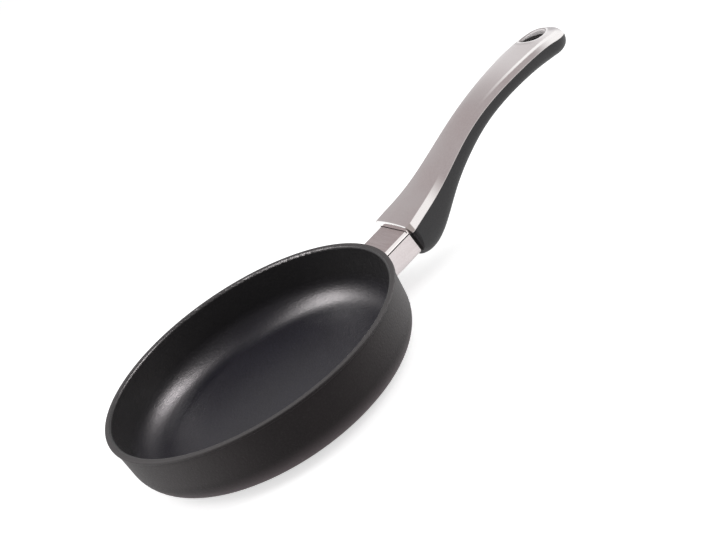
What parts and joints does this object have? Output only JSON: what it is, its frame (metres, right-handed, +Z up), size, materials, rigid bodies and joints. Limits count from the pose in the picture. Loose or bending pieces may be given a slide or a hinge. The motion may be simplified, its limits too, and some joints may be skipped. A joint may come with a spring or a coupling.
{
  "type": "omelette pan",
  "caption": "Round cast pan with low curved walls, a steel-clad neck and a long curved two-material handle with a hanging hole.",
  "frame": {"origin": "centre of the flat base, on the surface that the pan stands on", "axes": "+X out along the handle, +Z up, +Y to the left of the handle as seen from the bowl"},
  "size_m": [0.3912, 0.2, 0.0823],
  "materials": {
    "pan_coating": "dark satin non-stick coating over cast aluminium",
    "neck_steel": "satin stainless steel",
    "neck_plate_steel": "streaky brushed stainless steel with polished bevels",
    "cap_steel": "satin stainless steel with polished edges",
    "grip_plastic": "finely grained matte black thermoset plastic",
    "spacer_plastic": "matte black heat-resistant plastic",
    "inner_steel": "plain rolled or turned steel",
    "fastener_steel": "zinc-plated steel"
  },
  "bodies": {
    "root": {"pan_body": "pan_coating", "lug_inserts": "inner_steel", "neck_shell": "neck_steel", "neck_top_plate": "neck_plate_steel", "heat_spacer": "spacer_plastic", "handle_tang": "inner_steel", "tang_bolts": "fastener_steel", "tang_washers": "fastener_steel", "grip": "grip_plastic", "handle_top_cap": "cap_steel", "cap_standoffs": "inner_steel", "handle_screws": "fastener_steel", "handle_washers": "fastener_steel"}
  },
  "joints": []
}
